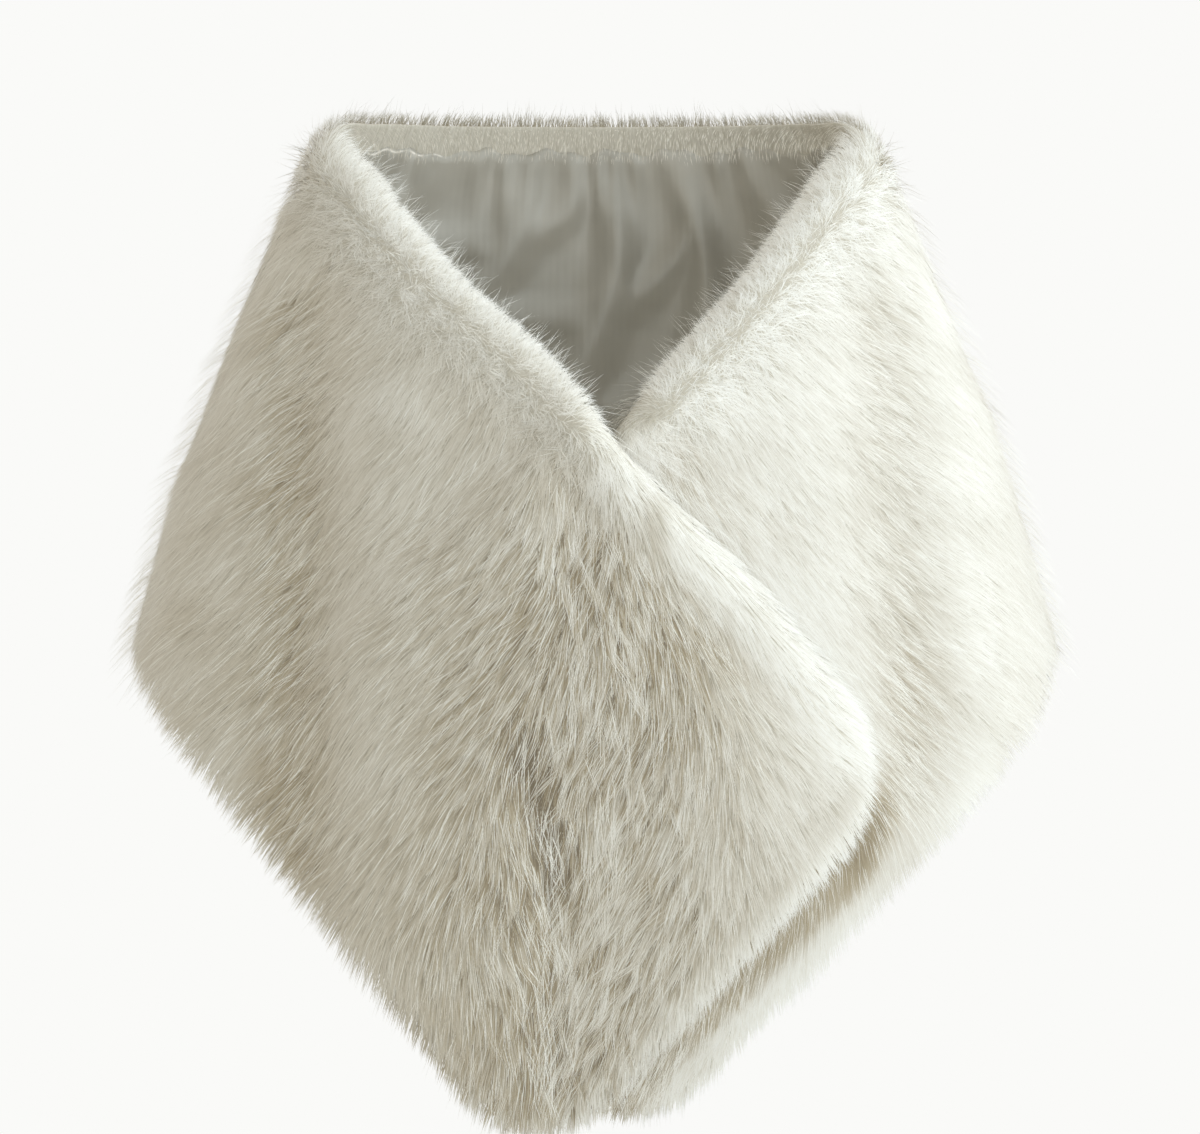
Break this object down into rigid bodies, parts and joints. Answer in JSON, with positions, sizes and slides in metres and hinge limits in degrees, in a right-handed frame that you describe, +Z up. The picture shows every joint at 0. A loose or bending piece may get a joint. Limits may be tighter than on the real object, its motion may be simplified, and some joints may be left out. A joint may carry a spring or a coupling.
{
  "type": "faux fur shawl",
  "caption": "Long-pile faux fur shawl with rounded ends and a satin lining, worn round the shoulders with one front crossed over the other.",
  "frame": {"origin": "the middle between the wearer's shoulders, at the height where the shawl rests on them", "axes": "+Z up, the wearer faces -Y, the wearer's right side is at -X"},
  "size_m": [0.7349, 0.3827, 0.8065],
  "materials": {
    "fur": "warm white faux fur with a long soft pile",
    "lining": "grey-brown satin with a soft sheen"
  },
  "bodies": {
    "root": {"back": "fur", "right_front": "fur", "left_front": "fur", "lining_back": "lining", "lining_right_front": "lining", "lining_left_front": "lining"}
  },
  "joints": []
}
